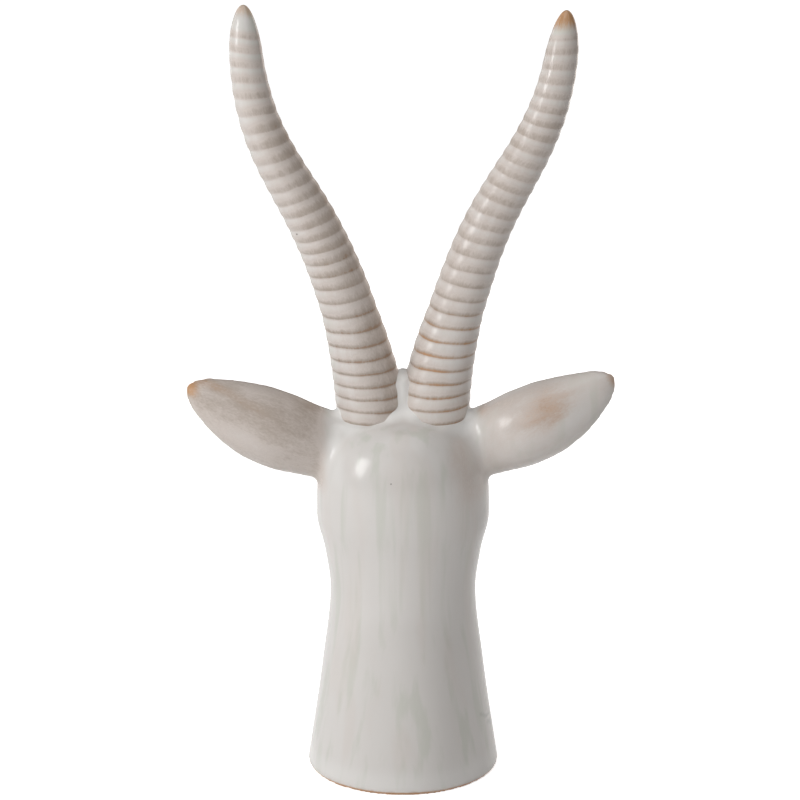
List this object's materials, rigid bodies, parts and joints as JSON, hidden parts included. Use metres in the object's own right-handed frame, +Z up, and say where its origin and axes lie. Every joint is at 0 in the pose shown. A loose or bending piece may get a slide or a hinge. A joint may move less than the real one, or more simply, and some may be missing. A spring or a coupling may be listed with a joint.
{
  "type": "antelope head statuette",
  "caption": "Standing glazed stoneware antelope head on its own neck, with long ringed horns, leaf-shaped ears and an open foot.",
  "frame": {"origin": "on the floor, under the middle of the object's bounding box", "axes": "+Z up, along the neck and horns; the muzzle points to -Y and the back of the head to +Y; the left horn of a viewer behind the head is on +X"},
  "size_m": [0.1998, 0.1538, 0.36],
  "materials": {
    "glazed_stoneware": "glossy warm white reactive glaze that breaks to tan on edges, rings, tips and foot rim"
  },
  "bodies": {
    "root": {"antelope_head": "glazed_stoneware"}
  },
  "joints": []
}
